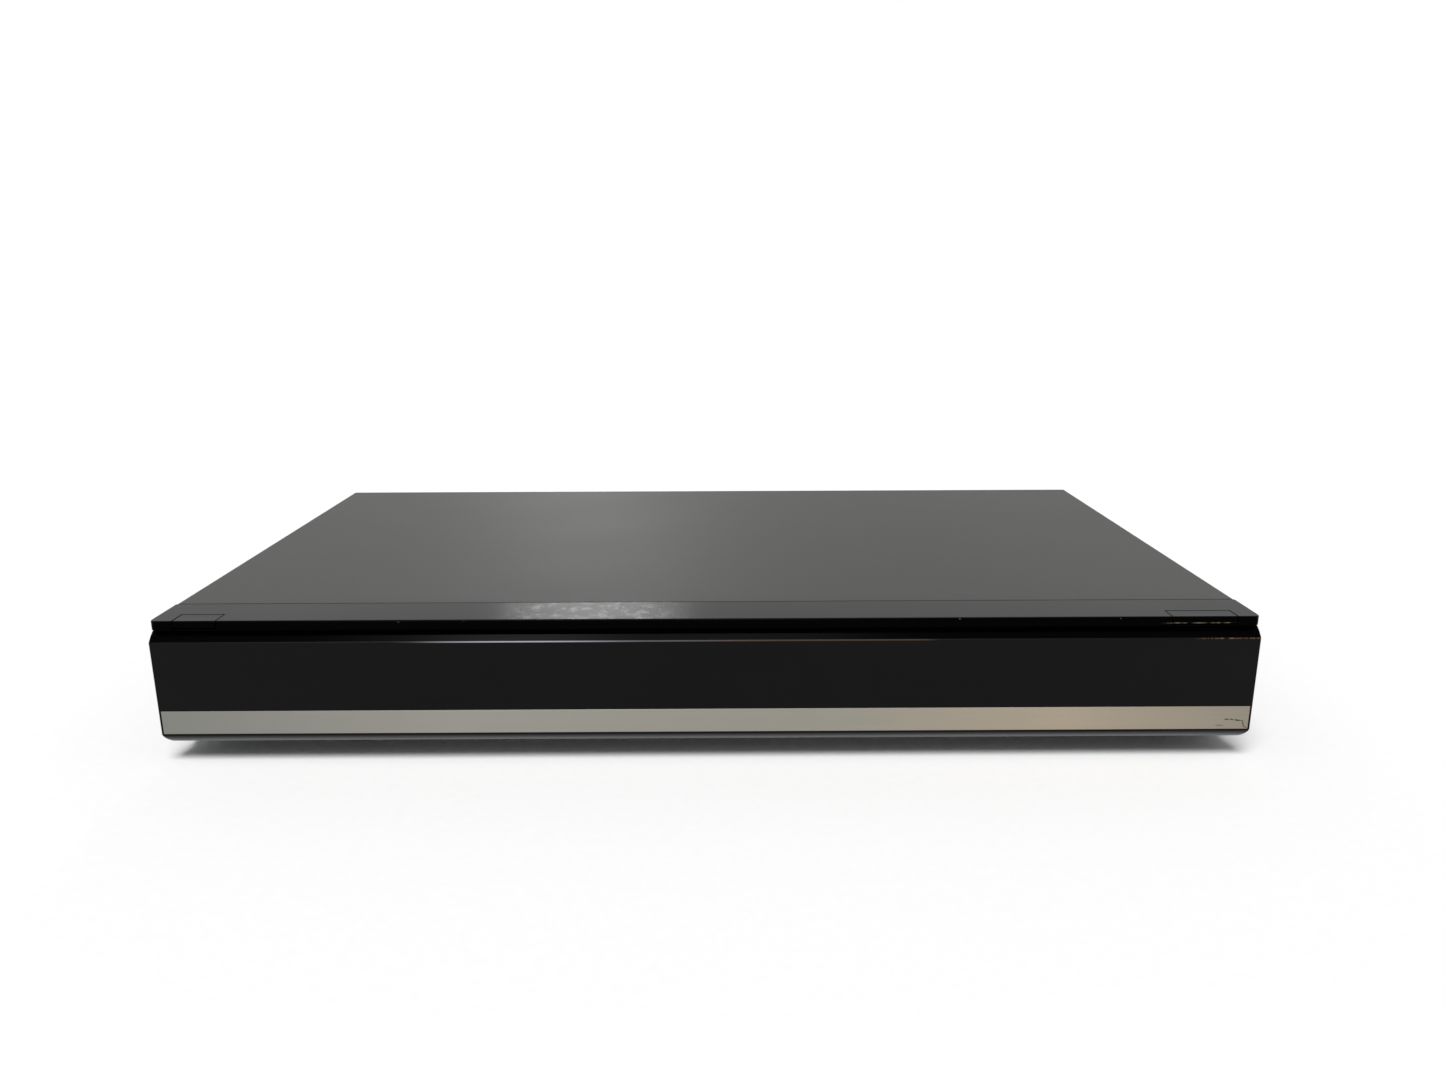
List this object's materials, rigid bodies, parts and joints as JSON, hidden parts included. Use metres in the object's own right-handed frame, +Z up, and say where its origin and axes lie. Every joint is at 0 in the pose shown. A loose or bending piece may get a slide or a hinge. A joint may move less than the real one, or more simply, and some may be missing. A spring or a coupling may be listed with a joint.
{
  "type": "disc recorder",
  "caption": "Flat disc and hard disk recorder: steel case, full-width fold-down front door, motorised disc tray, buttons on the top edge, sockets and a fan at the rear.",
  "frame": {"origin": "on the table, under the middle of the whole box (case and rear sockets)", "axes": "+X to the right seen from the front, +Y to the rear, +Z up"},
  "size_m": [0.43, 0.249, 0.059],
  "materials": {
    "cover_paint": "satin baked paint",
    "zinc_sheet": "zinc-plated sheet",
    "foot_plastic": "soft matt",
    "cover_screw_steel": "blackened steel",
    "screw_steel": "bright zinc",
    "frame_plastic": "fine-grained moulding",
    "trim_gloss": "high gloss",
    "door_gloss": "high gloss",
    "strip_metal": "brushed along its length",
    "gear_nylon": "natural nylon",
    "pin_steel": "ground steel",
    "damper_black": "plain moulding",
    "tray_plastic": "fine-grained moulding",
    "drive_plastic": "glass-filled moulding",
    "belt_rubber": "ground rubber",
    "pulley_brass": "turned brass",
    "motor_steel": "plated can",
    "clamp_plastic": "plain moulding",
    "platter_rubber": "soft rim",
    "pickup_alloy": "die-cast",
    "lens_glass": "clear",
    "disk_alloy": "die-cast and machined",
    "board_green": "solder resist",
    "board_tan": "paper laminate",
    "chip_black": "moulded epoxy",
    "sink_aluminium": "extruded",
    "transformer_tape": "yellow tape over the winding",
    "capacitor_sleeve": "shrink sleeve",
    "socket_black": "plain moulding",
    "socket_metal": "tinned shell",
    "window_smoke": "smoked",
    "display_glass": "clear over a dark ground",
    "fan_plastic": "plain moulding"
  },
  "bodies": {
    "case": {"top_cover": "cover_paint", "bottom_chassis": "zinc_sheet", "rear_panel": "zinc_sheet", "feet": "foot_plastic", "cover_screws": "cover_screw_steel", "board_screws": "screw_steel", "front_frame": "frame_plastic", "top_trim": "trim_gloss", "button_boards": "board_green", "display_window": "window_smoke", "display_board": "board_green", "display_tube": "display_glass", "card_slot": "socket_metal", "usb_port": "socket_metal", "door_pivot_pins": "pin_steel", "damper_housing": "damper_black", "loading_belt": "belt_rubber", "loading_motor": "motor_steel", "drive_chassis": "drive_plastic", "drive_grommets": "belt_rubber", "clamp_bridge": "zinc_sheet", "traverse_deck": "zinc_sheet", "guide_rods": "pin_steel", "sled_motor": "motor_steel", "spindle_motor": "motor_steel", "hard_disk": "disk_alloy", "hard_disk_board": "board_green", "hard_disk_bracket": "zinc_sheet", "main_board": "board_green", "board_chips": "chip_black", "heat_sink": "sink_aluminium", "power_board": "board_tan", "transformer": "transformer_tape", "capacitors": "capacitor_sleeve", "power_inlet": "socket_black", "tuner_can": "socket_metal", "scart_socket": "socket_black", "phono_sockets": "socket_black", "hdmi_socket": "socket_metal", "network_socket": "socket_black", "optical_socket": "socket_black", "fan_frame": "fan_plastic"},
    "tray": {"disc_tray": "tray_plastic", "tray_bezel": "tray_plastic"},
    "door": {"front_door": "door_gloss", "door_strip": "strip_metal", "door_gear": "gear_nylon"},
    "damper_pinion": {"damper_pinion": "gear_nylon"},
    "tray_gear": {"tray_gear": "gear_nylon"},
    "pulley_gear": {"pulley_gear": "gear_nylon"},
    "motor_pulley": {"motor_pulley": "pulley_brass"},
    "power_button": {"power_button": "trim_gloss"},
    "eject_button": {"eject_button": "trim_gloss"},
    "fan_rotor": {"fan_rotor": "fan_plastic"},
    "turntable": {"turntable": "platter_rubber"},
    "clamper": {"clamper": "clamp_plastic"},
    "pickup_sled": {"optical_pickup": "pickup_alloy", "pickup_lens": "lens_glass"},
    "lead_screw": {"lead_screw": "pin_steel"}
  },
  "joints": [
    {"name": "tray_slide", "type": "slide", "parent": "case", "child": "tray", "axis": [0, -1, 0], "range_m": [0, 0.159]},
    {"name": "door_hinge", "type": "hinge", "parent": "case", "child": "door", "pos_m": [0, -0.1155, 0.012], "axis": [1, 0, 0], "range_deg": [0, 90]},
    {"name": "damper_turn", "type": "hinge", "parent": "case", "child": "damper_pinion", "pos_m": [0.2054, -0.11342, 0.02382], "axis": [1, 0, 0], "range_deg": [-270.1, 0]},
    {"name": "tray_gear_turn", "type": "hinge", "parent": "case", "child": "tray_gear", "pos_m": [-0.02237, -0.07086, 0.0442], "axis": [0, 0, 1], "range_deg": [-1214.8, 0]},
    {"name": "pulley_gear_turn", "type": "hinge", "parent": "case", "child": "pulley_gear", "pos_m": [-0.03798, -0.07086, 0.0414], "axis": [0, 0, 1], "range_deg": [0, 4049.1]},
    {"name": "motor_pulley_turn", "type": "hinge", "parent": "case", "child": "motor_pulley", "pos_m": [-0.06997, -0.07086, 0.0414], "axis": [0, 0, 1], "range_deg": [0, 14846.1]},
    {"name": "power_press", "type": "slide", "parent": "case", "child": "power_button", "axis": [0, 0, -1], "range_m": [0, 0.0005], "stiffness_N_per_m": 1500},
    {"name": "eject_press", "type": "slide", "parent": "case", "child": "eject_button", "axis": [0, 0, -1], "range_m": [0, 0.0005], "stiffness_N_per_m": 1500},
    {"name": "fan_spin", "type": "hinge", "parent": "case", "child": "fan_rotor", "pos_m": [0.032, 0.1037, 0.028], "axis": [0, 1, 0], "continuous": true},
    {"name": "turntable_spin", "type": "hinge", "parent": "case", "child": "turntable", "pos_m": [-0.064, -0.02603, 0.042], "axis": [0, 0, 1], "continuous": true},
    {"name": "clamper_spin", "type": "hinge", "parent": "case", "child": "clamper", "pos_m": [-0.064, -0.02603, 0.0552], "axis": [0, 0, 1], "continuous": true},
    {"name": "sled_slide", "type": "slide", "parent": "case", "child": "pickup_sled", "axis": [0, 1, 0], "range_m": [0, 0.034]},
    {"name": "lead_screw_turn", "type": "hinge", "parent": "case", "child": "lead_screw", "pos_m": [-0.028, -0.02203, 0.039], "axis": [0, 1, 0], "range_deg": [0, 4081]}
  ],
  "couplings": [
    {"joint": "door_hinge", "follows": "tray_slide", "rad_per_m": 9.8792},
    {"joint": "damper_turn", "follows": "tray_slide", "rad_per_m": -29.638},
    {"joint": "tray_gear_turn", "follows": "tray_slide", "rad_per_m": -133.33},
    {"joint": "pulley_gear_turn", "follows": "tray_slide", "rad_per_m": 444.44},
    {"joint": "motor_pulley_turn", "follows": "tray_slide", "rad_per_m": 1629.6},
    {"joint": "clamper_spin", "follows": "turntable_spin", "ratio": 1},
    {"joint": "lead_screw_turn", "follows": "sled_slide", "rad_per_m": 2094.4}
  ]
}
